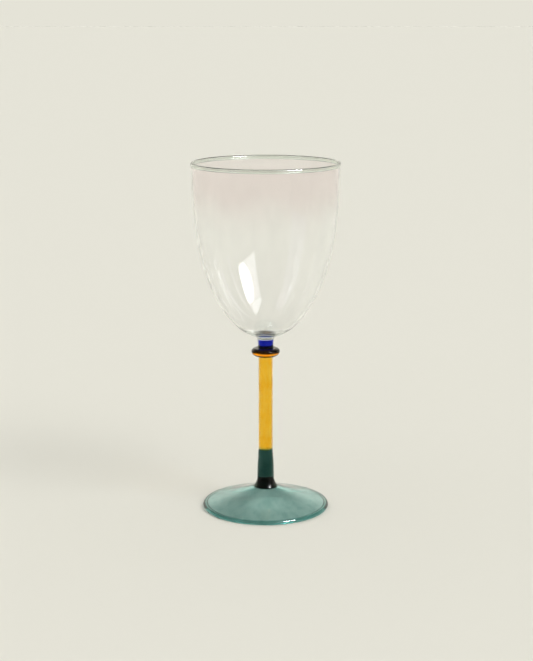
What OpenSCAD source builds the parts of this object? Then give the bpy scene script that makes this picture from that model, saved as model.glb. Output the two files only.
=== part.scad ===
// Stemmed glass, flame worked from clear and coloured borosilicate glass.
// A thin blown bowl stands on a stem of short coloured rods, sealed end to end, over a hollow cone foot.
// Millimetres. Z is up, and the origin is the middle of the rest face under the foot.
// Every piece is a solid of revolution about Z, and its seal to the next piece is a shared surface.

/* [Foot] */
// Diameter of the foot over its rolled edge
foot_d = 72.6; // [60:0.1:90]
// Height of the collar's lower edge on the foot above the rest face
foot_h = 11.7; // [9:0.1:18]
// Thickness of the cone wall
foot_wall = 1.6; // [1.2:0.1:2.2]
// How far the domed middle of the foot rises into the collar
foot_rise = 1.8; // [1.4:0.1:2.2]
// Thickness of the glass in the middle, under the collar
foot_centre_t = 2.0; // [1.8:0.1:2.6]
// Diameter of the level top of the hollow under the foot
foot_hub_d = 6; // [5:0.5:9]
// How far the slope of the cone dips below a straight line
foot_dip = 0.5; // [0:0.1:1.5]
// Width of the rolled edge, measured along the radius
foot_edge_w = 3.0; // [2.4:0.1:4]
// Height that the rolled edge had before its rest face was flattened
foot_edge_h = 2.5; // [2:0.1:3.5]
// Width of the flat ring that the glass stands on
rest_w = 1.2; // [0.8:0.1:2]

/* [Foot collar] */
// Diameter of the collar where it sits on the foot
collar_low_d = 13.6; // [11:0.1:14.5]
// Height of the collar
collar_h = 4.7; // [2:0.1:7]
// How far the side of the collar is drawn in from a straight taper
collar_cove = 0.3; // [0:0.05:0.6]
// Radius of the collar's rounded lower edge
collar_edge_r = 0.4; // [0.1:0.05:0.8]

/* [Green stem] */
// Length of the green rod
green_len = 18.2; // [8:0.1:40]
// Diameter of the green rod at the collar
green_low_d = 9.6; // [8:0.1:12]
// How far the side of the green rod swells from a straight taper
green_swell = 0.25; // [0:0.05:0.6]

/* [Amber stem] */
// Length of the amber rod between the green rod and the knop
amber_len = 54.5; // [20:0.5:90]
// Diameter of the amber rod, and of the green rod where they are sealed
amber_d = 8; // [6:0.1:8.2]
// How far the domed lower end of the amber rod sinks into the green rod
amber_dome = 1.0; // [0.3:0.05:2]

/* [Knop] */
// Diameter of the knop at its widest, where its amber and dark halves meet
knop_d = 16.2; // [13:0.1:22]
// Height of the amber half, below the widest circle
knop_below = 3.1; // [2:0.1:6]
// Height of the dark half, above the widest circle
knop_above = 1.8; // [1.2:0.1:4]
// Width of the rounded shoulder, from the widest circle to the flat top
knop_shoulder = 2.4; // [1:0.1:2.6]
// How far the domed upper end of the amber rod rises into the knop
knop_dome = 0.8; // [0.3:0.05:1.5]

/* [Blue collar] */
// Length of the blue rod between the knop and the button
blue_len = 4.95; // [2:0.05:10]
// Diameter of the blue rod at its waist
blue_d = 8.6; // [8.4:0.1:9.4]
// How far the blue rod flares at the knop and at the button, on the radius
blue_flare = 0.25; // [0.1:0.05:0.5]
// How far the domed upper end of the blue rod rises into the button
blue_dome = 0.4; // [0.1:0.05:0.8]
// How far the domed lower end of the blue rod sinks into the knop
blue_sink = 0.6; // [0.2:0.05:1]

/* [Bowl button] */
// Diameter of the clear button where it meets the bowl
button_d = 14; // [12:0.1:15]
// Height of that circle above the blue rod
button_h = 2.4; // [2:0.05:4]
// How far the button's side is drawn in from a straight flare
button_cove = 0.6; // [0:0.05:0.7]

/* [Bowl] */
// Height of the bowl from the lowest point of its outside to the rim
bowl_h = 99.83; // [70:0.05:130]
// Diameter of the bowl below the rim
bowl_d = 83.2; // [60:0.1:100]
// Fullness of the outline, from 2 for an ellipse to 3 for a nearly straight side
bowl_power = 2.42; // [2:0.01:3]
// Thickness of the wall
bowl_wall = 1.1; // [0.8:0.05:2]
// Thickness of the glass in the middle of the bottom, under its nearly level inside
bowl_base_t = 3.5; // [2.4:0.1:6]
// How softly the level inside turns up into the wall
bowl_base_soft = 0.8; // [0.3:0.1:1.5]
// How far the fire polished rim stands proud of the outside
rim_proud = 0.35; // [0.1:0.05:0.8]
// How far the fire polished rim stands proud of the inside
rim_inner_proud = 0.2; // [0.05:0.05:0.5]
// Height of the fire polished rim
rim_h = 2.4; // [1.6:0.1:4]

/* [Hidden] */
$fn = 96;

// Counts of the straight steps that stand for each curve
wall_steps = 36;
seat_steps = 5;
bead_steps = 28;
flare_steps = 8;
seam_steps = 12;

// Heights of the seams, from the rest face up
collar_z = foot_h;
green_z = collar_z + collar_h;
amber_z = green_z + green_len;
knop_z = amber_z + amber_len;
wide_z = knop_z + knop_below;
blue_z = wide_z + knop_above;
button_z = blue_z + blue_len;

// Radii that several pieces share
foot_r = foot_d / 2;
foot_hub_r = foot_hub_d / 2;
collar_low_r = collar_low_d / 2;
green_low_r = green_low_d / 2;
amber_r = amber_d / 2;
knop_r = knop_d / 2;
blue_r = blue_d / 2;
blue_flare_r = blue_r + blue_flare;
button_r = button_d / 2;
bowl_r = bowl_d / 2;

// The rolled edge of the foot is an ellipse that the rest face cuts
edge_rx = foot_edge_w / 2;
edge_rz = foot_edge_h / 2;
edge_r = foot_r - edge_rx;
edge_z = edge_rz * sqrt(1 - pow(rest_w / foot_edge_w, 2));
// The wall of the cone measured straight down
foot_wall_drop = foot_wall / cos(atan2(foot_h - edge_z, edge_r - collar_low_r));

// The bowl's lowest point hangs into the button, whose edge meets the bowl's side
seat_angle = asin(button_r / bowl_r);
bowl_seat_rise = bowl_h * (1 - pow(cos(seat_angle), 2 / bowl_power));
bowl_z = button_z + button_h - bowl_seat_rise;
rim_z = bowl_z + bowl_h;
bowl_inner_r = bowl_r - bowl_wall;
bowl_floor_z = bowl_z + bowl_base_t;
rim_rx = (bowl_wall + rim_proud + rim_inner_proud) / 2;
rim_rz = rim_h / 2;
rim_r = bowl_r + rim_proud - rim_rx;

// A point on an ellipse about a centre
function oval(centre, rx, rz, angle) = centre + [rx * cos(angle), rz * sin(angle)];

// Points along an ellipse from one angle to another
function oval_arc(centre, rx, rz, from, to, steps) =
    [for (i = [0:steps]) oval(centre, rx, rz, from + (to - from) * i / steps)];

// A point on the blown outline: radius r at the mouth, closed at the bottom, and height h
function blown(r, bottom, h, angle) = [r * sin(angle), bottom + h * (1 - pow(cos(angle), 2 / bowl_power))];

// Points along the blown outline from one angle to another
function blown_arc(r, bottom, h, from, to, steps) =
    [for (i = [0:steps]) blown(r, bottom, h, from + (to - from) * i / steps)];

// A point of the bowl's inside, which follows the wall down and turns level over the thick bottom
function above_floor(z) = (z - bowl_floor_z + sqrt(pow(z - bowl_floor_z, 2) + pow(bowl_base_soft, 2))) / 2;
function inside_point(p) = [p[0], bowl_floor_z + above_floor(p[1])];

// Height of the foot's upper side at a radius, with its slight dip
function slope_share(r) = (r - collar_low_r) / (edge_r - collar_low_r);
function foot_top(r) =
    foot_h - (foot_h - edge_z - edge_rz) * slope_share(r)
        - 4 * foot_dip * slope_share(r) * (1 - slope_share(r));

// The seam that the foot's domed middle presses into the collar, from the axis to the collar's edge
function foot_seam() = oval_arc([0, foot_h], collar_low_r - collar_edge_r, foot_rise, 90, 0, seam_steps);

// A side that bends between two points: straight, plus a bulge outward in its middle
function bent_side(low, high, bulge, steps) =
    [for (i = [0:steps]) low + (high - low) * i / steps + [bulge * sin(180 * i / steps), 0]];

// The seam that the amber rod's domed end presses into the green rod, from the rod's side to the axis
function amber_seam() = oval_arc([0, amber_z], amber_r, amber_dome, 0, -90, flare_steps);

// The seam that the amber rod's upper end presses into the knop, from the axis to the rod's side
function knop_seam() = oval_arc([0, knop_z], amber_r, knop_dome, 90, 0, flare_steps);

// The seams of the blue rod's domed ends in the knop and in the button, from the axis to the rod's side
function blue_low_seam() = oval_arc([0, blue_z], blue_flare_r, blue_sink, -90, 0, flare_steps);
function blue_seam() = oval_arc([0, button_z], blue_flare_r, blue_dome, 90, 0, flare_steps);

// The lowest part of the bowl, from the axis to the button's edge
function bowl_seat() = blown_arc(bowl_r, bowl_z, bowl_h, 0, seat_angle, seat_steps);

// Turns a half outline, given as points from radius zero outward, about Z
module turned(points) {
    rotate_extrude() polygon(points);
}

// Hollow cone foot with a rolled edge and a flat rest ring
module foot() {
    top_in = edge_r - edge_rx / 2;
    top = [for (i = [0:wall_steps / 2])
        let (r = collar_low_r + (top_in - collar_low_r) * i * 2 / wall_steps) [r, foot_top(r)]];
    flat_angle = asin(edge_z / edge_rz);
    under_z = foot_top(edge_r - edge_rx) - foot_wall_drop;
    under_angle = 180 + asin((edge_z - under_z) / edge_rz);
    edge_out = oval_arc([edge_r, edge_z], edge_rx, edge_rz, 90, -flat_angle, bead_steps / 2);
    edge_in = oval_arc([edge_r, edge_z], edge_rx, edge_rz, 180 + flat_angle, under_angle, flare_steps);
    under_r = edge_in[flare_steps][0];
    under = [for (i = [1:wall_steps / 2])
        let (r = under_r + (foot_hub_r - under_r) * i * 2 / wall_steps) [r, foot_top(r) - foot_wall_drop]];
    color("#7fae9f")
        turned(concat(
            foot_seam(), top, edge_out, edge_in, under,
            [[0, foot_h + foot_rise - foot_centre_t]]
        ));
}

// Dark gather that seals the stem to the foot
module foot_collar() {
    edge_centre = [collar_low_r - collar_edge_r, collar_z + collar_edge_r];
    edge = oval_arc(edge_centre, collar_edge_r, collar_edge_r, -90, 0, flare_steps);
    side = bent_side(edge[flare_steps], [green_low_r, green_z], -collar_cove, flare_steps);
    seam = foot_seam();
    color("#0b0f12")
        turned(concat(
            [for (i = [0:seam_steps - 1]) seam[i]],
            edge, [for (i = [1:flare_steps]) side[i]], [[0, green_z]]
        ));
}

// Green rod, tapered with a slight swell, and hollow at the top for the amber rod's end
module green_stem() {
    side = bent_side([green_low_r, green_z], [amber_r, amber_z], green_swell, wall_steps / 2);
    seam = amber_seam();
    color("#1c4a3d")
        turned(concat([[0, green_z]], side, [for (i = [1:flare_steps]) seam[i]]));
}

// Amber rod between its two domed ends
module amber_stem() {
    low = amber_seam();
    high = knop_seam();
    color("#e0a51f")
        turned(concat(
            [for (i = [flare_steps:-1:0]) low[i]],
            [for (i = [flare_steps:-1:0]) high[i]]
        ));
}

// Amber lower half of the knop
module amber_knop() {
    lower = oval_arc([amber_r, wide_z], knop_r - amber_r, knop_below, -90, 0, bead_steps / 2);
    seam = knop_seam();
    color("#c8691a")
        turned(concat([for (i = [0:flare_steps - 1]) seam[i]], lower, [[0, wide_z]]));
}

// Dark upper half of the knop
module dark_knop() {
    upper = oval_arc([knop_r - knop_shoulder, wide_z], knop_shoulder, knop_above, 0, 90, bead_steps / 2);
    seam = blue_low_seam();
    color("#1d1a0c")
        turned(concat([[0, wide_z]], upper, [for (i = [flare_steps:-1:0]) seam[i]]));
}

// Blue rod, waisted between its two domed ends
module blue_collar() {
    low = blue_low_seam();
    side = bent_side([blue_flare_r, blue_z], [blue_flare_r, button_z], -blue_flare, flare_steps);
    seam = blue_seam();
    color("#1b2a9c")
        turned(concat(
            [for (i = [0:flare_steps - 1]) low[i]],
            side, [for (i = [flare_steps - 1:-1:0]) seam[i]]
        ));
}

// Clear button that flares from the blue rod to the bowl
module bowl_button() {
    flare = bent_side([blue_flare_r, button_z], [button_r, button_z + button_h], -button_cove, flare_steps);
    seam = blue_seam();
    seat = bowl_seat();
    color("#d9dde0")
        turned(concat(
            [for (i = [0:flare_steps - 1]) seam[i]],
            flare, [for (i = [seat_steps - 1:-1:0]) seat[i]]
        ));
}

// Blown bowl with a thick level bottom, a thin wall and a fire polished rim
module bowl() {
    out_angle = -acos((bowl_r - rim_r) / rim_rx);
    in_angle = 180 + acos((rim_r - bowl_inner_r) / rim_rx);
    outside = blown_arc(bowl_r, bowl_z, bowl_h, seat_angle, 90, wall_steps);
    inside = blown_arc(bowl_inner_r, bowl_z + bowl_wall, bowl_h - bowl_wall, 0, 90, wall_steps);
    bead_z = rim_z - rim_rz;
    color("#e4e8e8")
        turned(concat(
            bowl_seat(),
            [for (i = [1:wall_steps]) if (outside[i][1] < bead_z - rim_rz) outside[i]],
            oval_arc([rim_r, bead_z], rim_rx, rim_rz, out_angle, in_angle, bead_steps),
            [for (i = [wall_steps:-1:0]) if (inside[i][1] < bead_z - rim_rz) inside_point(inside[i])]
        ));
}

foot();
foot_collar();
green_stem();
amber_stem();
amber_knop();
dark_knop();
blue_collar();
bowl_button();
bowl();
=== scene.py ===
"""A stemmed glass of clear and coloured rods and a blown bowl, standing on a pale table.

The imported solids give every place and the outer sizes. Each piece is made again as a smooth turned shell
that stays where its solid is, and its colour is in the depth of the glass.
"""

import logging
import math
from dataclasses import dataclass
from enum import Enum

import bmesh
import bpy
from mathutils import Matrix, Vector


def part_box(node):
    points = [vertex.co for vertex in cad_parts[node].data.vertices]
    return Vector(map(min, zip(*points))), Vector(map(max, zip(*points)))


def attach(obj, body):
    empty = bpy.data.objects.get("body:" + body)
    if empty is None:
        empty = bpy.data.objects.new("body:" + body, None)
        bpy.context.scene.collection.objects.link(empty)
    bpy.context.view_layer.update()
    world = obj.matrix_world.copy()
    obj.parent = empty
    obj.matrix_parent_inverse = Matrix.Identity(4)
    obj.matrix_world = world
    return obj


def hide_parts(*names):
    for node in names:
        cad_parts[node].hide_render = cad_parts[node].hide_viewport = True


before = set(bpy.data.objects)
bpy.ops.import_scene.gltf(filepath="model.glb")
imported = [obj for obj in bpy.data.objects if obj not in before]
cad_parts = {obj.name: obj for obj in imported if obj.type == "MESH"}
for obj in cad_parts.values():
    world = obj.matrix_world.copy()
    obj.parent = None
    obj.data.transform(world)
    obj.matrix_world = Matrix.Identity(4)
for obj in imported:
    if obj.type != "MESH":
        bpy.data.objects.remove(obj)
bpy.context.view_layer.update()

LOG = logging.getLogger("stemmed_glass")
MM = 0.001
BODY = "root"

# Air between two fused shells, so that no two faces lie in one place.
GAP = 0.01 * MM
# A distance past every piece.
BEYOND = 500 * MM
WHITE = (1, 1, 1, 1)
NOISE_MEAN = 0.5
# What keeps the division of an index clear of rounding.
HALF_INDEX = 0.5
GLASS_BOUNCES = 32
MIRROR_BOUNCES = 16

Point = tuple[float, float]
Colour = tuple[float, float, float]


class Slot(Enum):
    """The record's material slots, one for each glass."""

    CLEAR = "clear_glass"
    BLUE = "blue_glass"
    AMBER = "amber_glass"
    GREEN = "dark_green_glass"
    BLACK = "black_glass"
    PALE = "pale_green_glass"


def from_srgb(red: float, green: float, blue: float) -> Colour:
    """Turns a display colour into the linear one that shaders take.

    Args:
        red: Red from 0 to 255.
        green: Green from 0 to 255.
        blue: Blue from 0 to 255.

    Returns:
        The three linear values, from 0 to 1.
    """
    full, offset, power = 255, 0.055, 2.4
    return tuple(((v / full + offset) / (1 + offset)) ** power for v in (red, green, blue))


class Board:
    """Adds nodes to one node tree and wires them up."""

    MIX_SHARE, MIX_FIRST, MIX_SECOND, MIX_COLOUR = 0, 6, 7, 2

    def __init__(self, tree: bpy.types.NodeTree) -> None:
        """Keeps the node tree to add to."""
        self.tree = tree

    @classmethod
    def cleared(cls, owner: bpy.types.ID) -> "Board":
        """Empties the node tree of a material or a world.

        Args:
            owner: The material or the world.

        Returns:
            The board for its tree.
        """
        owner.use_nodes = True
        owner.node_tree.nodes.clear()
        return cls(owner.node_tree)

    def declare(self, takes: dict[str, str], gives: dict[str, str]) -> None:
        """Args:
            takes: Name of each input to its kind of socket.
            gives: Name of each output to its kind of socket.
        """
        for way, sockets in (("INPUT", takes), ("OUTPUT", gives)):
            for name, kind in sockets.items():
                self.tree.interface.new_socket(name, in_out=way, socket_type="NodeSocket" + kind)

    def add(self, kind: str, inputs: dict | None = None, **settings: object) -> bpy.types.Node:
        """Adds a node, sets its options, and fills its inputs.

        Args:
            kind: The node's type name.
            inputs: Input name or index to a value, or to the socket that feeds it.
            **settings: Options of the node itself.

        Returns:
            The new node.
        """
        node = self.tree.nodes.new(kind)
        for name, value in settings.items():
            setattr(node, name, value)
        for key, value in (inputs or {}).items():
            if isinstance(value, bpy.types.NodeSocket):
                self.tree.links.new(value, node.inputs[key])
            else:
                node.inputs[key].default_value = value
        return node

    def ramp(self, value: bpy.types.NodeSocket, span: Point, ends: tuple[object, object]) -> bpy.types.NodeSocket:
        """Adds a soft step from the first end to the second while the socket goes through the span."""
        values = {"Value": value, "From Min": span[0], "From Max": span[1], "To Min": ends[0], "To Max": ends[1]}
        return self.add("ShaderNodeMapRange", values, interpolation_type="SMOOTHSTEP").outputs[0]

    def calc(self, operation: str, first: object, second: object = 0.0, third: object = 0.0) -> bpy.types.NodeSocket:
        """Adds a Math node on values or sockets."""
        return self.add("ShaderNodeMath", {0: first, 1: second, 2: third}, operation=operation).outputs[0]

    def noise(self, place: object, scale: object, detail: float) -> bpy.types.NodeSocket:
        """Adds noise with as many finer layers as detail says."""
        return self.add("ShaderNodeTexNoise", {"Vector": place, "Scale": scale, "Detail": detail}).outputs[0]

    def mix(self, share: object, first: object, second: object, blend: str = "MIX") -> bpy.types.NodeSocket:
        """Mixes two colours by the second one's share."""
        values = {self.MIX_SHARE: share, self.MIX_FIRST: first, self.MIX_SECOND: second}
        return self.add("ShaderNodeMix", values, data_type="RGBA", blend_type=blend).outputs[self.MIX_COLOUR]


class TurnedTree:
    """The Geometry Nodes tree that turns a half outline about Z."""

    NAME = "turned_shell"
    FUSED = "fused"

    def __init__(self) -> None:
        """Builds the tree, with its named inputs."""
        self.tree = bpy.data.node_groups.new(self.NAME, "GeometryNodeTree")
        board = Board(self.tree)
        takes = {
            "Outline": "Geometry", "Segments": "Int", "Waver Share": "Float", "Waver Turns": "Float",
            "Waver Height": "Float", "Waver Seed": "Float", "Merge Distance": "Float", "Sharp Angle": "Float",
            "Glass": "Material",
        }
        board.declare(takes, {"Shell": "Geometry"})
        self._nodes(board)

    def _nodes(self, b: Board) -> None:
        """Adds the nodes: a grid of outline points by segments, wrapped round the axis.

        Args:
            b: The board that adds them.
        """
        take = b.add("NodeGroupInput").outputs
        count = b.add("GeometryNodeAttributeDomainSize", {0: take["Outline"]}).outputs["Point Count"]
        round_points = b.calc("ADD", take["Segments"], 1.0)
        grid = b.add("GeometryNodeMeshGrid", {"Vertices X": count, "Vertices Y": round_points})
        index = b.add("GeometryNodeInputIndex").outputs[0]
        row = self._row(b, index, round_points)
        step = b.calc("SUBTRACT", index, b.calc("MULTIPLY", row, round_points))
        angle = b.calc("DIVIDE", b.calc("MULTIPLY", step, math.tau), take["Segments"])
        here = b.add("GeometryNodeInputPosition").outputs[0]
        point = b.add(
            "GeometryNodeSampleIndex", {0: take["Outline"], "Value": here, "Index": row},
            data_type="FLOAT_VECTOR",
        ).outputs[0]
        place = b.add("ShaderNodeSeparateXYZ", {0: point}).outputs
        cos, sin = b.calc("COSINE", angle), b.calc("SINE", angle)
        waver = self._waver(b, take, cos, sin, place["Z"])
        radius = b.calc("MULTIPLY", place["X"], b.calc("ADD", waver, 1.0))
        wrapped = b.add(
            "ShaderNodeCombineXYZ",
            {"X": b.calc("MULTIPLY", radius, cos), "Y": b.calc("MULTIPLY", radius, sin), "Z": place["Z"]},
        )
        shaped = b.add("GeometryNodeSetPosition", {"Geometry": grid.outputs["Mesh"], "Position": wrapped.outputs[0]})
        face_row = self._row(b, index, take["Segments"])
        mark = b.add("GeometryNodeInputNamedAttribute", {"Name": self.FUSED}, data_type="FLOAT").outputs[0]
        fused = b.add(
            "GeometryNodeSampleIndex", {0: take["Outline"], "Value": mark, "Index": face_row}, data_type="FLOAT"
        ).outputs[0]
        marked = b.add(
            "GeometryNodeStoreNamedAttribute", {0: shaped.outputs[0], "Name": self.FUSED, "Value": fused},
            data_type="FLOAT", domain="FACE",
        )
        merged = b.add("GeometryNodeMergeByDistance", {0: marked.outputs[0], "Distance": take["Merge Distance"]})
        bend = b.add("GeometryNodeInputMeshEdgeAngle").outputs["Unsigned Angle"]
        sharp = b.calc("GREATER_THAN", bend, take["Sharp Angle"])
        faces = b.add("GeometryNodeSetShadeSmooth", {0: merged.outputs[0], "Shade Smooth": True}, domain="FACE")
        edges = b.add(
            "GeometryNodeSetShadeSmooth", {0: faces.outputs[0], "Selection": sharp, "Shade Smooth": False},
            domain="EDGE",
        )
        real = b.add("GeometryNodeRealizeInstances", {0: edges.outputs[0]})
        dressed = b.add("GeometryNodeSetMaterial", {0: real.outputs[0], "Material": take["Glass"]})
        b.add("NodeGroupOutput", {0: dressed.outputs[0]})

    def _row(self, b: Board, index: bpy.types.NodeSocket, width: bpy.types.NodeSocket) -> bpy.types.NodeSocket:
        """Finds the row of the grid, which is its outline point, for a point or a face."""
        return b.calc("FLOOR", b.calc("DIVIDE", b.calc("ADD", index, HALF_INDEX), width))

    def _waver(
        self, b: Board, take: bpy.types.NodeOutputs, cos: bpy.types.NodeSocket, sin: bpy.types.NodeSocket,
        height: bpy.types.NodeSocket,
    ) -> bpy.types.NodeSocket:
        """Works out how far the hand-turned wall strays, as a share of its radius.

        Args:
            b: The board that adds the nodes.
            take: The tree's inputs.
            cos: Cosine of the angle round the axis.
            sin: Sine of the angle round the axis.
            height: Height of the point.

        Returns:
            The share to add to the radius.
        """
        turns = take["Waver Turns"]
        around = b.add(
            "ShaderNodeCombineXYZ",
            {
                "X": b.calc("MULTIPLY", cos, turns),
                "Y": b.calc("MULTIPLY", sin, turns),
                "Z": b.calc("DIVIDE", height, take["Waver Height"]),
            },
        )
        noise = b.add(
            "ShaderNodeTexNoise", {"Vector": around.outputs[0], "W": take["Waver Seed"], "Scale": 1.0, "Detail": 1.0},
            noise_dimensions="4D",
        )
        centred = b.calc("SUBTRACT", noise.outputs[0], NOISE_MEAN)
        return b.calc("MULTIPLY", centred, take["Waver Share"])

    def set_input(self, modifier: bpy.types.Modifier, name: str, value: object) -> None:
        """Sets one input of a modifier by its socket's identifier.

        Args:
            modifier: The modifier that uses the tree.
            name: The input's name.
            value: Its value.
        """
        for item in self.tree.interface.items_tree:
            if item.in_out == "INPUT" and item.name == name:
                modifier[item.identifier] = value


@dataclass
class Outline:
    """Half outline of a turned piece, from the axis round its outside and back.

    A stretch is fused where the glass goes on into the next piece, with no air between them.

    Attributes:
        points: Radius and height of each point.
        fused: Whether the stretch from each point to the next is fused.
    """

    points: list[Point]
    fused: list[bool]

    @classmethod
    def start(cls, point: Point) -> "Outline":
        """Starts an outline at one point."""
        return cls([point], [])

    def free(self, points: list[Point]) -> "Outline":
        """Adds a run of points whose stretches meet the air."""
        return self._run(points, False)

    def seam(self, points: list[Point]) -> "Outline":
        """Adds a run of points whose stretches are fused to a neighbour."""
        return self._run(points, True)

    def _run(self, points: list[Point], fused: bool) -> "Outline":
        """Adds a run of points of either kind.

        Args:
            points: The points.
            fused: Whether the stretches that lead to them are fused.

        Returns:
            The outline itself.
        """
        self.points += points
        self.fused += [fused] * len(points)
        return self


def oval_arc(centre: Point, rx: float, rz: float, start: float, end: float, steps: int) -> list[Point]:
    """Lists points along an ellipse.

    Args:
        centre: Radius and height of its centre.
        rx: Its half width.
        rz: Its half height.
        start: First angle in degrees.
        end: Last angle in degrees.
        steps: Number of stretches.

    Returns:
        The points, ends included.
    """
    angles = [math.radians(start + (end - start) * i / steps) for i in range(steps + 1)]
    return [(centre[0] + rx * math.cos(a), centre[1] + rz * math.sin(a)) for a in angles]


def bent_side(low: Point, high: Point, bulge: float, steps: int) -> list[Point]:
    """Lists points along a straight side that swells, or draws in, in its middle.

    Args:
        low: First end.
        high: Last end.
        bulge: How far the middle stands out.
        steps: Number of stretches.

    Returns:
        The points, ends included.
    """
    shares = [i / steps for i in range(steps + 1)]
    return [
        (
            low[0] + (high[0] - low[0]) * t + bulge * math.sin(math.pi * t),
            low[1] + (high[1] - low[1]) * t,
        )
        for t in shares
    ]


def moved(points: list[Point], out: float = 0.0, up: float = 0.0) -> list[Point]:
    """Moves points outward and up.

    Args:
        points: The points.
        out: Distance to add to each radius.
        up: Distance to add to each height.

    Returns:
        The moved points.
    """
    return [(r + out, z + up) for r, z in points]


@dataclass(frozen=True)
class Glass:
    """One glass, by the light that a depth of it lets through.

    Attributes:
        slot: The record's material slot.
        passes: Share of red, green and blue light that is left after the depth.
        depth: The depth that passes was judged at.
        glare: Share of the light that a face mirrors which the shadow on the table lacks.
        gleam: How strongly its surface reflects, from 0 to 1, where 1 is plain glass.
        haze: Roughness of the surface, 0 where it is clear.
        ior: Refractive index against air.
        ripple: Height of the surface's ripples.
        ripple_size: Length of the surface's ripples.
        cord: Tint of the glass where a cord of denser colour runs through it.
        cord_size: Width of the cords.
        edge: Darker tint of the thick rolled edge, or of the rim, partly the deeper colour of thick glass and partly
            painted shade.
        edge_r: Radius where the rolled edge starts, or BEYOND.
        edge_z: Height where the rim starts, or BEYOND.
        pink_reflection: Pink tint on the upper wall, which is a painted reflection.
        pink_reflection_z: Height where it starts, or BEYOND.
    """

    slot: Slot
    passes: Colour
    depth: float
    glare: float = 0.7
    gleam: float = 1.0
    haze: float = 0.0
    ior: float = 1.47
    ripple: float = 0.004 * MM
    ripple_size: float = 6 * MM
    cord: Colour = (0.985, 0.985, 0.985)
    cord_size: float = 2 * MM
    edge: Colour = (1.0, 1.0, 1.0)
    edge_r: float = BEYOND
    edge_z: float = BEYOND
    pink_reflection: Colour = (1.0, 1.0, 1.0)
    pink_reflection_z: float = BEYOND

    def material(self, detail: bpy.types.NodeTree) -> bpy.types.Material:
        """Makes the material.

        Args:
            detail: The shader group of the flaws.

        Returns:
            detail: The shader group of the faults, the painted shade and the painted reflection.
        """
        mat = bpy.data.materials.new(self.slot.value)
        b = Board.cleared(mat)
        # The edge, rim and pink tints handed to the group are partly painted shade and a painted reflection.
        sizes = {
            "Place": b.add("ShaderNodeTexCoord").outputs["Object"],
            "Ripple Size": self.ripple_size,
            "Cord Size": self.cord_size,
            "Cord": (*self.cord, 1),
            "Edge": (*self.edge, 1),
            "Edge Radius": self.edge_r,
            "Edge Height": self.edge_z,
            "Pink Reflection": (*self.pink_reflection, 1),
            "Pink Reflection Height": self.pink_reflection_z,
        }
        flaws_and_painted_light = b.add("ShaderNodeGroup", sizes, node_tree=detail)
        bump = b.add("ShaderNodeBump", {"Height": flaws_and_painted_light.outputs["Height"], "Distance": self.ripple})
        fused = b.add("ShaderNodeAttribute", attribute_name=TurnedTree.FUSED).outputs["Fac"]
        step = b.calc("MULTIPLY_ADD", fused, 1 - self.ior, self.ior)
        body = b.add(
            "ShaderNodeBsdfPrincipled",
            {
                "Base Color": flaws_and_painted_light.outputs["Tint"],
                "Roughness": self.haze,
                "IOR": step,
                "Transmission Weight": 1.0,
                "Specular Tint": (self.gleam, self.gleam, self.gleam, 1),
                "Normal": bump.outputs[0],
            },
        )
        lamp = b.add("ShaderNodeLightPath").outputs["Is Shadow Ray"]
        mirror = b.add("ShaderNodeFresnel", {"IOR": step}).outputs[0]
        past = b.calc("MULTIPLY_ADD", mirror, -self.glare, 1.0)
        clear = b.add("ShaderNodeBsdfTransparent", {"Color": past})
        surface = b.add("ShaderNodeMixShader", {0: lamp, 1: body.outputs[0], 2: clear.outputs[0]})
        loss = [-math.log(share) / self.depth for share in self.passes]
        most = max(loss)
        inside = b.add(
            "ShaderNodeVolumeAbsorption",
            {"Color": (*(1 - value / most for value in loss), 1), "Density": most},
        )
        b.add("ShaderNodeOutputMaterial", {"Surface": surface.outputs[0], "Volume": inside.outputs[0]})
        return mat


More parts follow.
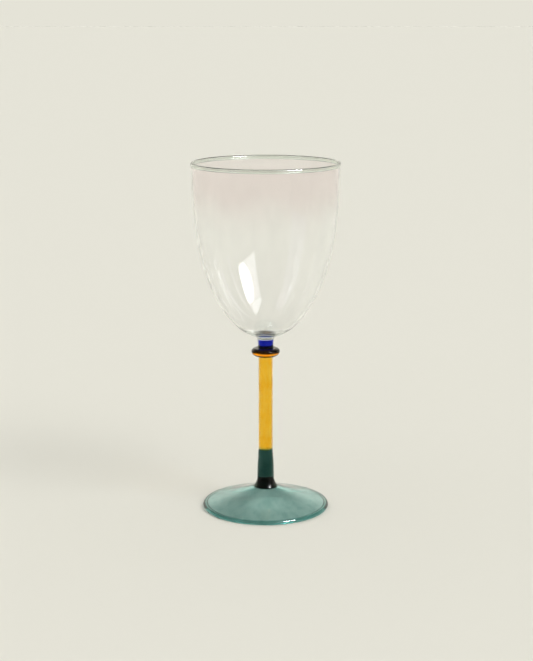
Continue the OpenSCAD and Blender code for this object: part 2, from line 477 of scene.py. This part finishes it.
@dataclass(frozen=True)
class FlawsAndPaintedLight:
    """Faults of flame-worked glass, with the painted shade and painted reflection in its tints, by the sizes that all
    the glasses share.

    Attributes:
        ripple_detail: Finer layers of the ripples.
        seed_gap: Distance between two tiny seeds.
        seed_span: Where a seed's bump is full and where it ends, as shares of that distance.
        seed_height: Height of a seed's bump, as a share of the ripples'.
        cord_rise: How many times as far as across the cords run upward.
        cord_detail: Finer layers of the cords.
        cord_span: Noise at which the denser colour starts and is full.
        edge_fade: Distance in which the rolled edge's darker tint, partly painted shade, sets in.
        rim_fade: Height in which the rim's darker tint, partly painted shade, sets in.
        cloud_size: Size of the clouds that break up the painted pink reflection.
        cloud_detail: Finer layers of the clouds.
        cloud_reach: How far a cloud shifts the painted reflection's border.
        pink_reflection_span: Heights over that border at which the painted reflection starts and is full.
    """

    ripple_detail: float = 1.0
    seed_gap: float = 7 * MM
    seed_span: Point = (0.01, 0.03)
    seed_height: float = 1.5
    cord_rise: float = 3.0
    cord_detail: float = 3.0
    cord_span: Point = (0.4, 0.7)
    edge_fade: float = 1.6 * MM
    rim_fade: float = 0.4 * MM
    cloud_size: float = 45 * MM
    cloud_detail: float = 2.0
    cloud_reach: float = 40 * MM
    pink_reflection_span: Point = (12 * MM, 32 * MM)

    def group(self) -> bpy.types.NodeTree:
        """Builds the shader group that every glass uses.

        Returns:
            The group. Height is that of the ripples and the seeds, and Tint that of the cords, of the darker edge and
            rim, which is partly painted shade, and of the painted pink reflection.
        """
        tree = bpy.data.node_groups.new("flame_glass_detail", "ShaderNodeTree")
        b = Board(tree)
        takes = {
            "Place": "Vector", "Ripple Size": "Float", "Cord Size": "Float", "Cord": "Color", "Edge": "Color",
            "Edge Radius": "Float", "Edge Height": "Float", "Pink Reflection": "Color", "Pink Reflection Height": "Float",
        }
        b.declare(takes, {"Height": "Float", "Tint": "Color"})
        take = b.add("NodeGroupInput").outputs
        place = take["Place"]
        ripples = b.noise(place, b.calc("DIVIDE", 1.0, take["Ripple Size"]), self.ripple_detail)
        seeds = b.add("ShaderNodeTexVoronoi", {"Vector": place, "Scale": 1 / self.seed_gap}).outputs["Distance"]
        height = b.calc("ADD", ripples, b.ramp(seeds, self.seed_span, (self.seed_height, 0.0)))
        drawn = b.add("ShaderNodeVectorMath", {0: place, 1: (1, 1, 1 / self.cord_rise)}, operation="MULTIPLY")
        cords = b.noise(drawn.outputs[0], b.calc("DIVIDE", 1.0, take["Cord Size"]), self.cord_detail)
        tint = b.mix(b.ramp(cords, self.cord_span, (0.0, 1.0)), WHITE, take["Cord"])
        flat = b.add("ShaderNodeVectorMath", {0: place, 1: (1, 1, 0)}, operation="MULTIPLY").outputs[0]
        away = b.add("ShaderNodeVectorMath", {0: flat}, operation="LENGTH").outputs["Value"]
        up = b.add("ShaderNodeSeparateXYZ", {0: place}).outputs["Z"]
        # Darker tint past the rolled edge's radius or the rim's height: partly the deeper colour of thick glass,
        # partly painted shade.
        edge_tint_and_shade = b.ramp(b.calc("SUBTRACT", away, take["Edge Radius"]), (0.0, self.edge_fade), (0.0, 1.0))
        rim_tint_and_shade = b.ramp(b.calc("SUBTRACT", up, take["Edge Height"]), (0.0, self.rim_fade), (0.0, 1.0))
        edge = b.mix(b.calc("MAXIMUM", edge_tint_and_shade, rim_tint_and_shade), WHITE, take["Edge"])
        tint = b.mix(1.0, tint, edge, "MULTIPLY")
        # Pink tint over a cloudy border high on the bowl's wall: a painted reflection.
        clouds = b.noise(place, 1 / self.cloud_size, self.cloud_detail)
        over = b.calc("SUBTRACT", up, take["Pink Reflection Height"])
        over = b.calc("MULTIPLY_ADD", clouds, self.cloud_reach, over)
        pink_reflection = b.mix(b.ramp(over, self.pink_reflection_span, (0.0, 1.0)), WHITE, take["Pink Reflection"])
        b.add("NodeGroupOutput", {"Height": height, "Tint": b.mix(1.0, tint, pink_reflection, "MULTIPLY")})
        return tree


GLASSES = (
    # The clear glass's pink tint high on the wall is a painted reflection, and its rim tint is partly painted shade.
    Glass(
        Slot.CLEAR, (0.97, 0.985, 0.975), 8 * MM, ripple=0.0015 * MM, cord_size=5 * MM,
        edge=(0.77, 0.84, 0.79), edge_z=197.5 * MM, pink_reflection=(0.97, 0.93, 0.935), pink_reflection_z=171 * MM,
    ),
    Glass(Slot.BLUE, (0.001, 0.008, 0.38), 8.6 * MM, gleam=0.25, cord=(0.8, 0.8, 0.9)),
    Glass(Slot.AMBER, (0.96, 0.56, 0.03), 8 * MM, gleam=0.4, cord=(0.97, 0.84, 0.5), cord_size=2.5 * MM),
    Glass(Slot.GREEN, (0.013, 0.058, 0.05), 9 * MM, gleam=0.2, cord=(0.7, 0.8, 0.8)),
    Glass(Slot.BLACK, (0.045, 0.035, 0.018), 2.4 * MM, gleam=0.09, haze=0.2),
    # The pale glass's dark rolled edge is partly the deeper colour of thick glass and partly painted shade.
    Glass(
        Slot.PALE, (0.705, 0.907, 0.9), 1.9 * MM, cord=(0.8, 0.87, 0.86), cord_size=5 * MM,
        edge=(0.1, 0.28, 0.26), edge_r=34.0 * MM,
    ),
)


class Workshop:
    """Makes a visible piece of glass from its outline."""

    TURNING: dict[str, float] = {
        "Waver Share": 0.0015,
        "Waver Turns": 2.5,
        "Waver Height": 60 * MM,
        "Waver Seed": 3.7,
        "Merge Distance": 0.001 * MM,
        "Sharp Angle": math.radians(40),
    }

    def __init__(self) -> None:
        """Builds the tree and the glasses that the pieces share."""
        self.tree = TurnedTree()
        detail = FlawsAndPaintedLight().group()
        self.glasses = {glass.slot: glass.material(detail) for glass in GLASSES}

    def turn(self, node: str, outline: Outline, slot: Slot, segments: int) -> bpy.types.Object:
        """Turns an outline into a closed shell that stands for a solid.

        Args:
            node: The solid's name.
            outline: Half outline of the shell.
            slot: The glass it is made of.
            segments: Number of faces round the axis.

        Returns:
            The finished piece.
        """
        line = bpy.data.meshes.new(node + "_outline")
        line.from_pydata([(r, 0, z) for r, z in outline.points], [(i, i + 1) for i in range(len(outline.fused))], [])
        mark = line.attributes.new(TurnedTree.FUSED, "FLOAT", "POINT")
        mark.data.foreach_set("value", [float(f) for f in outline.fused] + [0.0])
        piece = bpy.data.objects.new("glass_" + node, line)
        bpy.context.scene.collection.objects.link(piece)
        modifier = piece.modifiers.new("turn", "NODES")
        modifier.node_group = self.tree.tree
        for name, value in {"Segments": segments, **self.TURNING, "Glass": self.glasses[slot]}.items():
            self.tree.set_input(modifier, name, value)
        solved = piece.evaluated_get(bpy.context.evaluated_depsgraph_get())
        mesh = bpy.data.meshes.new_from_object(solved)
        piece.modifiers.remove(modifier)
        piece.data = mesh
        self._face_outward(mesh)
        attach(piece, BODY)
        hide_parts(node)
        LOG.info("%s: %d faces in %s", piece.name, len(mesh.polygons), slot.value)
        return piece

    def _face_outward(self, mesh: bpy.types.Mesh) -> None:
        """Turns a closed shell's faces outward.

        Args:
            mesh: The shell's mesh, changed in place.
        """
        work = bmesh.new()
        work.from_mesh(mesh)
        bmesh.ops.recalc_face_normals(work, faces=work.faces)
        work.to_mesh(mesh)
        work.free()


@dataclass
class Foot:
    """Pale hollow cone that the glass stands on.

    Attributes:
        wall: Thickness of its wall.
        centre: Thickness of its middle.
        rise: How far the middle rises into the collar.
        hub_r: Radius inside which the underside closes over the middle.
        dip: How far its side dips below a straight line.
        edge_rx: Half width of the rolled edge.
        edge_rz: Half height of the rolled edge.
        rest_w: Width of the flat ring that it rests on.
        seat_r: Radius where its side starts, under the collar's edge.
        seam_r: Radius of the domed seam with the collar.
        steps: Stretches of each run of the outline.
        segments: Faces round the axis.
    """

    wall: float = 1.6 * MM
    centre: float = 2.0 * MM
    rise: float = 1.8 * MM
    hub_r: float = 3.0 * MM
    dip: float = 0.5 * MM
    edge_rx: float = 1.5 * MM
    edge_rz: float = 1.25 * MM
    rest_w: float = 1.2 * MM
    seat_r: float = 6.8 * MM
    seam_r: float = 6.4 * MM
    steps: int = 48
    segments: int = 256

    def build(self, workshop: Workshop) -> None:
        """Builds the cone with its rolled edge.

        Args:
            workshop: The workshop that turns the outline.
        """
        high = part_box("foot")[1]
        top_z, edge_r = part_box("foot_collar")[0].z, high.x - self.edge_rx
        edge_z = self.edge_rz * math.sqrt(1 - (self.rest_w / (2 * self.edge_rx)) ** 2)
        slope = math.atan2(top_z - edge_z, edge_r - self.seat_r)
        drop = self.wall / math.cos(slope)

        def surface(r: float) -> float:
            """Gives the height of the cone's upper side at a radius."""
            share = (r - self.seat_r) / (edge_r - self.seat_r)
            return top_z - (top_z - edge_z - self.edge_rz) * share - 4 * self.dip * share * (1 - share)

        flat = math.degrees(math.asin(edge_z / self.edge_rz))
        under_z = surface(edge_r - self.edge_rx) - drop
        under = math.degrees(math.asin((edge_z - under_z) / self.edge_rz))
        top_in = edge_r - self.edge_rx / 2
        top = [self.seat_r + (top_in - self.seat_r) * i / self.steps for i in range(self.steps + 1)]
        edge_out = oval_arc((edge_r, edge_z), self.edge_rx, self.edge_rz, 90, -flat, self.steps)
        edge_in = oval_arc((edge_r, edge_z), self.edge_rx, self.edge_rz, 180 + flat, 180 + under, self.steps // 2)
        under_r = edge_in[-1][0]
        below = [under_r + (self.hub_r - under_r) * i / self.steps for i in range(1, self.steps + 1)]
        dome = moved(oval_arc((0, top_z), self.seam_r, self.rise, 90, 0, self.steps), up=-GAP)
        outline = Outline.start(dome[0]).seam(dome[1:] + [(self.seat_r, top_z - GAP)])
        outline.free([(r, surface(r)) for r in top[1:]])
        outline.free(edge_out + edge_in)
        outline.free([(r, surface(r) - drop) for r in below])
        outline.free([(0, high.z - self.centre)])
        workshop.turn("foot", outline, Slot.PALE, self.segments)


@dataclass
class Stem:
    """Collar, green rod and amber rod, sealed end to end.

    Attributes:
        collar_edge_r: Radius of the collar's rounded lower edge.
        collar_cove: How far the collar's side draws in.
        green_low_r: Radius of the green rod's lower end.
        green_swell: How far the green rod's side swells.
        amber_dome: Height of the domed seam under the amber rod.
        steps: Stretches of each run of an outline.
        segments: Faces round the axis.
    """

    collar_edge_r: float = 0.4 * MM
    collar_cove: float = 0.3 * MM
    green_low_r: float = 4.8 * MM
    green_swell: float = 0.25 * MM
    amber_dome: float = 1.0 * MM
    steps: int = 24
    segments: int = 128

    def build(self, workshop: Workshop) -> None:
        """Builds the three pieces.

        Args:
            workshop: The workshop that turns the outlines.
        """
        self._collar(workshop)
        self._green(workshop)
        self._amber(workshop)

    def _dome(self, r: float, z: float) -> list[Point]:
        """Lists the domed seam under the amber rod, from its side to the axis."""
        return oval_arc((0, z), r, self.amber_dome, 0, -90, self.steps)

    def _collar(self, workshop: Workshop) -> None:
        """Builds the dark gather on the foot.

        Args:
            workshop: The workshop that turns the outline.
        """
        low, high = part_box("foot_collar")
        edge = oval_arc(
            (high.x - self.collar_edge_r, low.z + self.collar_edge_r), self.collar_edge_r, self.collar_edge_r,
            -90, 0, self.steps,
        )
        side = bent_side(edge[-1], (self.green_low_r, high.z), -self.collar_cove, self.steps)
        dome = moved(oval_arc((0, low.z), edge[0][0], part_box("foot")[1].z - low.z, 90, 0, self.steps), up=GAP)
        outline = Outline.start(dome[0]).seam(dome[1:]).free(edge[1:] + side[1:])
        outline.seam([(self.green_low_r, high.z - GAP), (0, high.z - GAP)])
        workshop.turn("foot_collar", outline, Slot.BLACK, self.segments)

    def _green(self, workshop: Workshop) -> None:
        """Builds the green rod, whose top is hollow for the amber rod.

        Args:
            workshop: The workshop that turns the outline.
        """
        low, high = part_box("green_stem")
        amber_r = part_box("amber_stem")[1].x
        side = bent_side((self.green_low_r, low.z + GAP), (amber_r, high.z), self.green_swell, self.steps)
        outline = Outline.start((0, low.z + GAP)).seam(side[:1]).free(side[1:])
        outline.seam(moved(self._dome(amber_r, high.z), up=-GAP))
        workshop.turn("green_stem", outline, Slot.GREEN, self.segments)

    def _amber(self, workshop: Workshop) -> None:
        """Builds the amber rod between its two domed ends.

        Args:
            workshop: The workshop that turns the outline.
        """
        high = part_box("amber_stem")[1]
        low_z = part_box("green_stem")[1].z
        knop_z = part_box("amber_knop")[0].z
        low = moved(self._dome(high.x, low_z)[::-1], up=GAP)
        top = moved(oval_arc((0, knop_z), high.x, high.z - knop_z, 0, 90, self.steps), up=-GAP)
        outline = Outline.start(low[0]).seam(low[1:])
        outline.free(bent_side(low[-1], top[0], 0, self.steps)[1:]).seam(top[1:])
        workshop.turn("amber_stem", outline, Slot.AMBER, self.segments)


@dataclass
class Knop:
    """Amber and dark halves of the knop, with the blue rod that stands on it.

    Attributes:
        shoulder: Width of the dark half's rounded shoulder.
        blue_waist_r: Radius of the blue rod's waist.
        steps: Stretches of each run of an outline.
        segments: Faces round the axis.
    """

    shoulder: float = 2.4 * MM
    blue_waist_r: float = 4.3 * MM
    steps: int = 32
    segments: int = 160

    def build(self, workshop: Workshop) -> None:
        """Builds the two halves and the blue rod.

        Args:
            workshop: The workshop that turns the outlines.
        """
        self._amber_half(workshop)
        self._dark_half(workshop)
        self._blue(workshop)

    def _amber_half(self, workshop: Workshop) -> None:
        """Builds the amber half, hollow underneath for the rod's domed end.

        Args:
            workshop: The workshop that turns the outline.
        """
        low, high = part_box("amber_knop")
        rod_r, rod_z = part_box("amber_stem")[1].x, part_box("amber_stem")[1].z
        dome = moved(oval_arc((0, low.z), rod_r, rod_z - low.z, 90, 0, self.steps), up=GAP)
        belly = oval_arc((rod_r, high.z), high.x - rod_r, high.z - low.z, -90, 0, self.steps)
        outline = Outline.start(dome[0]).seam(dome[1:]).free(belly[1:-1])
        outline.free(moved(belly[-1:], up=-GAP)).seam([(0, high.z - GAP)])
        workshop.turn("amber_knop", outline, Slot.AMBER, self.segments)

    def _dark_half(self, workshop: Workshop) -> None:
        """Builds the dark half, hollow on top for the blue rod's domed end.

        Args:
            workshop: The workshop that turns the outline.
        """
        low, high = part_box("dark_knop")
        blue_r, blue_low_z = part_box("blue_collar")[1].x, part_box("blue_collar")[0].z
        top = oval_arc((high.x - self.shoulder, low.z), self.shoulder, high.z - low.z, 0, 90, self.steps)
        dish = moved(oval_arc((0, high.z), blue_r, high.z - blue_low_z, 0, -90, self.steps), up=-GAP)
        outline = Outline.start((0, low.z + GAP)).seam([(high.x, low.z + GAP)]).free(top[1:])
        outline.free(dish[:1]).seam(dish[1:])
        workshop.turn("dark_knop", outline, Slot.BLACK, self.segments)

    def _blue(self, workshop: Workshop) -> None:
        """Builds the waisted blue rod between its two domed ends.

        Args:
            workshop: The workshop that turns the outline.
        """
        low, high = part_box("blue_collar")
        foot_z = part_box("dark_knop")[1].z
        head_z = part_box("bowl_button")[0].z
        dish = moved(oval_arc((0, foot_z), high.x, foot_z - low.z, -90, 0, self.steps), up=GAP)
        side = bent_side(dish[-1], (high.x, head_z - GAP), self.blue_waist_r - high.x, self.steps)
        dome = moved(oval_arc((0, head_z), high.x, high.z - head_z, 0, 90, self.steps), up=-GAP)
        outline = Outline.start(dish[0]).seam(dish[1:]).free(side[1:]).seam(dome[1:])
        workshop.turn("blue_collar", outline, Slot.BLUE, self.segments)


@dataclass
class Bowl:
    """Clear button and the blown bowl that it carries.

    Attributes:
        cove: How far the button's side draws in.
        power: Power of the blown outline, 2 for an ellipse.
        wall: Thickness of the wall.
        base: Thickness of the bottom.
        base_soft: How softly the inside turns level over the bottom.
        rim_proud: How far the rim's bead stands out of the wall.
        rim_inner_proud: How far the bead stands into the mouth.
        rim_h: Height of the bead.
        steps: Stretches of the wall's outline.
        seat_steps: Stretches of the seat and of each run of the button.
        segments: Faces round the axis.
    """

    cove: float = 0.6 * MM
    power: float = 2.42
    wall: float = 1.1 * MM
    base: float = 3.5 * MM
    base_soft: float = 0.8 * MM
    rim_proud: float = 0.35 * MM
    rim_inner_proud: float = 0.2 * MM
    rim_h: float = 2.4 * MM
    steps: int = 108
    seat_steps: int = 24
    segments: int = 288

    def __post_init__(self) -> None:
        """Takes the places that the solids give."""
        low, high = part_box("bowl")
        self.low_z, self.height = low.z, high.z - low.z
        self.outer_r = high.x - self.rim_proud
        self.seat_angle = math.degrees(math.asin(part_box("bowl_button")[1].x / self.outer_r))

    def build(self, workshop: Workshop) -> None:
        """Builds the button, and then the bowl on it."""
        self._button(workshop)
        self._bowl(workshop)

    def _blown(self, r: float, bottom: float, h: float, start: float, end: float, steps: int) -> list[Point]:
        """Lists points along the blown outline.

        Args:
            r: Radius at the mouth.
            bottom: Height of the lowest point.
            h: Height from there to the mouth.
            start: First angle in degrees, 0 at the axis.
            end: Last angle in degrees, 90 at the mouth.
            steps: Number of stretches.

        Returns:
            The points, ends included.
        """
        angles = [math.radians(start + (end - start) * i / steps) for i in range(steps + 1)]
        return [(r * math.sin(a), bottom + h * (1 - max(math.cos(a), 0) ** (2 / self.power))) for a in angles]

    def _seat(self) -> list[Point]:
        """Lists the seam between the bowl and the button, from the axis outward."""
        return self._blown(self.outer_r, self.low_z, self.height, 0, self.seat_angle, self.seat_steps)

    def _inside(self) -> list[Point]:
        """Lists the inside of the bowl, which turns level over the thick bottom.

        Returns:
            The points, from the axis outward.
        """
        floor_z = self.low_z + self.base
        wall = self._blown(
            self.outer_r - self.wall, self.low_z + self.wall, self.height - self.wall, 0, 90, self.steps
        )
        return [(r, floor_z + (z - floor_z + math.hypot(z - floor_z, self.base_soft)) / 2) for r, z in wall]

    def _button(self, workshop: Workshop) -> None:
        """Builds the clear flare between the blue rod and the bowl.

        Args:
            workshop: The workshop that turns the outline.
        """
        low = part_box("bowl_button")[0]
        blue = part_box("blue_collar")[1]
        dome = moved(oval_arc((0, low.z), blue.x, blue.z - low.z, 90, 0, self.seat_steps), up=GAP)
        seat = moved(self._seat()[::-1], up=-GAP)
        flare = bent_side(dome[-1], seat[0], -self.cove, self.seat_steps)
        outline = Outline.start(dome[0]).seam(dome[1:]).free(flare[1:]).seam(seat[1:])
        workshop.turn("bowl_button", outline, Slot.CLEAR, self.segments // 2)

    def _bowl(self, workshop: Workshop) -> None:
        """Builds the thin wall, the thick bottom and the fire-polished rim.

        Args:
            workshop: The workshop that turns the outline.
        """
        inner_r = self.outer_r - self.wall
        rim_rx = (self.wall + self.rim_proud + self.rim_inner_proud) / 2
        rim_rz = self.rim_h / 2
        rim_r = self.outer_r + self.rim_proud - rim_rx
        bead_z = self.low_z + self.height - rim_rz
        out_angle = -math.degrees(math.acos((self.outer_r - rim_r) / rim_rx))
        in_angle = 180 + math.degrees(math.acos((rim_r - inner_r) / rim_rx))
        outside = self._blown(self.outer_r, self.low_z, self.height, self.seat_angle, 90, self.steps)
        seam = moved(self._seat(), up=GAP)
        outline = Outline.start(seam[0]).seam(seam[1:])
        outline.free([p for p in outside[1:] if p[1] < bead_z - rim_rz])
        outline.free(oval_arc((rim_r, bead_z), rim_rx, rim_rz, out_angle, in_angle, self.steps // 2))
        outline.free([p for p in self._inside()[::-1] if p[1] < bead_z - rim_rz])
        workshop.turn("bowl", outline, Slot.CLEAR, self.segments)


def toward(azimuth: float, elevation: float, distance: float = 1.0, height: float = 0.0) -> Vector:
    """Finds a place in the studio by the direction that it is seen in from the glass.

    Args:
        azimuth: Degrees from the front, towards +X.
        elevation: Degrees over the horizon.
        distance: Distance from the axis of the glass.
        height: Height that the direction starts from.

    Returns:
        The place.
    """
    az, el = math.radians(azimuth), math.radians(elevation)
    x = distance * math.sin(az) * math.cos(el)
    y = -distance * math.cos(az) * math.cos(el)
    return Vector((x, y, height + distance * math.sin(el)))


def put_up(name: str, corners: list, mat: bpy.types.Material) -> bpy.types.Object:
    """Puts up a flat piece of the studio, which isn't part of the glass.

    Args:
        name: Its name.
        corners: Its four corners, in order.
        mat: Its material.

    Returns:
        The piece.
    """
    mesh = bpy.data.meshes.new(name)
    mesh.from_pydata(corners, [], [(0, 1, 2, 3)])
    mesh.materials.append(mat)
    piece = bpy.data.objects.new(name, mesh)
    bpy.context.scene.collection.objects.link(piece)
    return piece


@dataclass(frozen=True)
class Card:
    """A bright or dim card of the studio, seen only in the glass.

    Attributes:
        name: The card's name.
        corners: Azimuth and elevation of each corner in degrees, as toward takes them.
        edge: Brightness at its edges, where 1 is white.
        core: Brightness at its core.
        core_at: Azimuth and elevation of the core.
        core_size: Distance from the core to where its brightness has fallen to the edge's.
        colour: Its colour.
        distance: Its distance from the bowl.
        height: Height that the directions start from.
    """

    name: str
    corners: tuple[Point, Point, Point, Point]
    edge: float
    core: float
    core_at: Point
    core_size: float
    colour: Colour
    distance: float = 1.4
    height: float = 0.128

    def build(self) -> None:
        """Hangs the card, which only reflections and refractions show."""
        mat = bpy.data.materials.new(self.name)
        b = Board.cleared(mat)
        place = b.add("ShaderNodeTexCoord").outputs["Object"]
        core = toward(*self.core_at, self.distance, self.height)
        away = b.add("ShaderNodeVectorMath", {0: place, 1: core}, operation="DISTANCE").outputs["Value"]
        strength = b.ramp(away, (0.0, self.core_size), (self.core, self.edge))
        light = b.add("ShaderNodeEmission", {"Color": (*self.colour, 1), "Strength": strength})
        b.add("ShaderNodeOutputMaterial", {"Surface": light.outputs[0]})
        card = put_up(self.name, [toward(*corner, self.distance, self.height) for corner in self.corners], mat)
        card.visible_camera = card.visible_diffuse = card.visible_shadow = False


@dataclass
class Studio:
    """Pale table, soft light and the camera of the photograph.

    Attributes:
        pale: Colour of the table and the backdrop.
        level: Brightness of the lit table, as a share of its colour.
        key_share: Share of that light that comes from the key lamp.
        key_azimuth: Degrees from the front to the key lamp, towards +X.
        key_elevation: Degrees of the key lamp over the horizon.
        key_width: Width of the key lamp in degrees.
        fill_elevation: Degrees of the fill lamp over the horizon, straight overhead.
        fill_width: Width of the fill lamp in degrees.
        table: Length of the table's sides.
        table_drop: How far the table lies under the glass.
        upper_front: Brightness that the glass shows high up, towards the camera.
        upper_back: Brightness that it shows high up, behind it.
        horizon: Brightness that it shows low down, behind it.
        side_span: Y of the direction where the front ends and where the back starts.
        low_span: Z of the direction where the plain backdrop ends and where the horizon is full.
        high_span: Z of the direction where the horizon ends and where the upper part is full.
        eye: Place of the camera.
        look_down: Degrees that the camera looks down.
        focal: Focal length in pixels of the photograph.
        frame_h: Height of the photograph in pixels.
        sensor_h: Height of the camera's sensor, in the camera's own millimetres.
        cards: The cards that the glass mirrors and shows.
    """

    pale: Colour = from_srgb(229, 227, 215)
    level: float = 1.006
    key_share: float = 0.25
    key_azimuth: float = 54.0
    key_elevation: float = 37.0
    key_width: float = 31.0
    fill_elevation: float = 90.0
    fill_width: float = 172.0
    table: float = 40.0
    table_drop: float = 0.02 * MM
    upper_front: float = 0.6
    upper_back: float = 0.2
    horizon: float = 1.35
    side_span: Point = (-0.3, 0.3)
    low_span: Point = (0.1, 0.24)
    high_span: Point = (0.25, 0.7)
    eye: tuple[float, float, float] = (0.0005, -0.8433, 0.2853)
    look_down: float = 12.125
    focal: float = 1514.8
    frame_h: float = 661.0
    sensor_h: float = 36.0
    cards: tuple[Card, ...] = (
        Card(
            "key_card", ((22, 20), (61, 22), (74, 69), (14, 55)),
            edge=3.5, core=360.0, core_at=(52, 38), core_size=0.38, colour=(1.0, 1.0, 1.05),
        ),
        Card(
            "left_card", ((-75, 5), (-45, 5), (-45, 60), (-75, 60)),
            edge=0.9, core=1.8, core_at=(-60, 45), core_size=0.5, colour=(1.0, 0.96, 1.08),
        ),
        Card(
            "side_card", ((77, 15), (82, 15), (82, 60), (77, 60)),
            edge=1.0, core=1.8, core_at=(79, 38), core_size=0.5, colour=(1.0, 0.96, 1.06),
        ),
        Card(
            "rear_card", ((103, 15), (109, 15), (109, 60), (103, 60)),
            edge=1.0, core=1.8, core_at=(106, 38), core_size=0.5, colour=(1.0, 0.96, 1.06),
        ),
    )

    def build(self) -> None:
        """Builds the table, the world, the lights and the camera."""
        self._table()
        self._world()
        self._lamp("key", self.key_azimuth, self.key_elevation, self.key_width, self.key_share)
        self._lamp("fill", 0.0, self.fill_elevation, self.fill_width, 1 - self.key_share)
        for card in self.cards:
            card.build()
        self._camera()

    def _table(self) -> None:
        """Lays the pale table, which holds the shadow."""
        mat = bpy.data.materials.new("pale_table")
        b = Board.cleared(mat)
        top = b.add("ShaderNodeBsdfDiffuse", {"Color": (*self.pale, 1)})
        b.add("ShaderNodeOutputMaterial", {"Surface": top.outputs[0]})
        half, low = self.table / 2, -self.table_drop
        put_up("table", [(-half, -half, low), (half, -half, low), (half, half, low), (-half, half, low)], mat)

    def _world(self) -> None:
        """Gives the world the plain backdrop and the room that the glass shows, which light nothing else."""
        world = bpy.data.worlds.new("studio")
        b = Board.cleared(world)
        path = b.add("ShaderNodeLightPath").outputs
        way = b.add("ShaderNodeSeparateXYZ", {0: b.add("ShaderNodeTexCoord").outputs["Generated"]}).outputs
        upper = b.ramp(way["Y"], self.side_span, (self.upper_front, self.upper_back))
        horizon = b.ramp(way["Y"], self.side_span, (1.0, self.horizon))
        low = b.ramp(way["Z"], self.low_span, (1.0, horizon))
        rise = b.ramp(way["Z"], self.high_span, (low, upper))
        dark = b.add("ShaderNodeBackground", {"Color": (0, 0, 0, 1), "Strength": 0.0})
        room = b.add("ShaderNodeBackground", {"Color": (*self.pale, 1), "Strength": rise})
        backdrop = b.add("ShaderNodeBackground", {"Color": (*self.pale, 1), "Strength": 1.0})
        seen = b.calc("MAXIMUM", path["Is Glossy Ray"], path["Is Transmission Ray"])
        other = b.add("ShaderNodeMixShader", {0: seen, 1: dark.outputs[0], 2: room.outputs[0]})
        shown = b.add("ShaderNodeMixShader", {0: path["Is Camera Ray"], 1: other.outputs[0], 2: backdrop.outputs[0]})
        b.add("ShaderNodeOutputWorld", {"Surface": shown.outputs[0]})
        bpy.context.scene.world = world

    def _lamp(self, name: str, azimuth: float, elevation: float, width: float, share: float) -> None:
        """Hangs a wide soft lamp, which lights the table.

        Args:
            name: The lamp's name.
            azimuth: Degrees from the front, towards +X.
            elevation: Degrees over the horizon.
            width: Width of the lamp in degrees.
            share: Its share of the light on the table.
        """
        light = bpy.data.lights.new(name, "SUN")
        light.angle = math.radians(width)
        light.energy = self.level * share * math.pi / math.sin(math.radians(elevation))
        light.cycles.use_multiple_importance_sampling = False
        lamp = bpy.data.objects.new(name, light)
        lamp.rotation_euler = toward(azimuth, elevation).to_track_quat("Z", "Y").to_euler()
        bpy.context.scene.collection.objects.link(lamp)
        lamp.visible_glossy = lamp.visible_transmission = False

    def _camera(self) -> None:
        """Places the camera where the photograph was taken from."""
        lens = bpy.data.cameras.new("camera")
        lens.sensor_fit = "VERTICAL"
        lens.sensor_height = self.sensor_h
        lens.lens = self.focal / self.frame_h * lens.sensor_height
        camera = bpy.data.objects.new("camera", lens)
        camera.location = self.eye
        camera.rotation_euler = (math.radians(90 - self.look_down), 0, 0)
        bpy.context.scene.collection.objects.link(camera)
        bpy.context.scene.camera = camera


def tune_light_paths() -> None:
    """Lets light go through as many faces of glass as it meets."""
    scene = bpy.context.scene
    scene.view_settings.view_transform = "Standard"
    cycles = scene.cycles
    cycles.max_bounces = GLASS_BOUNCES
    cycles.transmission_bounces = GLASS_BOUNCES
    cycles.glossy_bounces = MIRROR_BOUNCES
    cycles.transparent_max_bounces = GLASS_BOUNCES
    cycles.caustics_reflective = False
    cycles.caustics_refractive = False


def main() -> None:
    """Builds the glass and its studio."""
    logging.basicConfig(level=logging.INFO)
    tune_light_paths()
    Studio().build()
    workshop = Workshop()
    for part in (Foot(), Stem(), Knop(), Bowl()):
        part.build(workshop)
        LOG.info("built the %s", type(part).__name__.lower())


if __name__ == "__main__":
    main()
